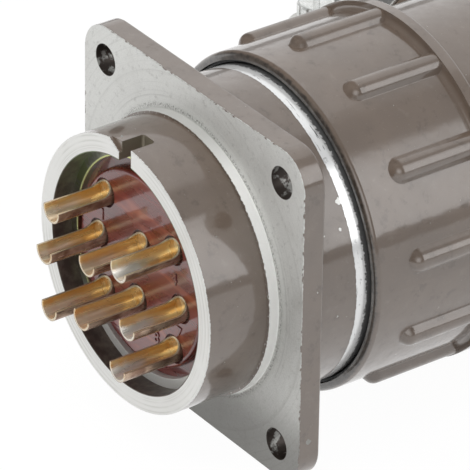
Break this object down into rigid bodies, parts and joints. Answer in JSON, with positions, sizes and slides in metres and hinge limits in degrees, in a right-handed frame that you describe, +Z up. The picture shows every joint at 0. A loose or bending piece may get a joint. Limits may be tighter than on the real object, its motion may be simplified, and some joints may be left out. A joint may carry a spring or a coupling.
{
  "type": "bayonet circular connector",
  "caption": "Square-flange panel receptacle with solder-cup contacts, mated to an angled cable plug by a ribbed bayonet coupling nut.",
  "frame": {"origin": "centre of the flange's rear face, the face that seats on the panel", "axes": "+Y along the common axis from the wired rear of the receptacle to the plug, +Z up towards the slot in the rear barrel, the cable leaves along -X"},
  "size_m": [0.0677, 0.1014, 0.0508],
  "materials": {
    "receptacle_enamel": "gloss grey-brown enamel over an aluminium casting, bare machined rear face",
    "nut_enamel": "gloss grey-brown enamel",
    "backshell_enamel": "gloss grey-brown enamel",
    "clamp_plate": "satin nickel over a casting",
    "plated_aluminium": "machined and plated",
    "phenolic": "glossy red-brown moulded phenolic",
    "gold_contact": "gold plated",
    "chromated_steel": "yellow-green chromate",
    "spring_steel": "bright spring steel",
    "plated_screw": "bright zinc plate",
    "seal_rubber": "matt black",
    "bushing_rubber": "matt black"
  },
  "bodies": {
    "receptacle": {"receptacle_shell": "receptacle_enamel", "rear_insulator": "phenolic", "front_insulator": "phenolic", "pin_face_seal": "seal_rubber", "block_snap_ring": "chromated_steel", "pin_contact_1": "gold_contact", "pin_contact_2": "gold_contact", "pin_contact_3": "gold_contact", "pin_contact_4": "gold_contact", "pin_contact_5": "gold_contact", "pin_contact_6": "gold_contact", "pin_contact_7": "gold_contact", "pin_contact_8": "gold_contact"},
    "plug": {"plug_shell": "plated_aluminium", "socket_front_insulator": "phenolic", "socket_rear_insulator": "phenolic", "plug_snap_ring": "chromated_steel", "shell_gasket": "seal_rubber", "wave_washer": "spring_steel", "nut_keeper_ring": "chromated_steel", "socket_contact_1": "gold_contact", "socket_contact_2": "gold_contact", "socket_contact_3": "gold_contact", "socket_contact_4": "gold_contact", "socket_contact_5": "gold_contact", "socket_contact_6": "gold_contact", "socket_contact_7": "gold_contact", "socket_contact_8": "gold_contact", "elbow_backshell": "backshell_enamel", "clamp_body": "clamp_plate", "clamp_saddle": "clamp_plate", "clamp_screw_1": "plated_screw", "clamp_screw_2": "plated_screw", "spring_washer_1": "spring_steel", "spring_washer_2": "spring_steel", "cable_bushing": "bushing_rubber"},
    "coupling_nut": {"coupling_nut": "nut_enamel", "nut_wiper": "seal_rubber"}
  },
  "joints": [
    {"name": "plug_slide", "type": "slide", "parent": "receptacle", "child": "plug", "axis": [0, 1, 0], "range_m": [0, 0.004]},
    {"name": "nut_turn", "type": "hinge", "parent": "plug", "child": "coupling_nut", "pos_m": [0, 0, 0], "axis": [0, 1, 0], "range_deg": [0, 100]}
  ],
  "couplings": [
    {"joint": "plug_slide", "follows": "nut_turn", "m_per_rad": 0.0022918}
  ]
}
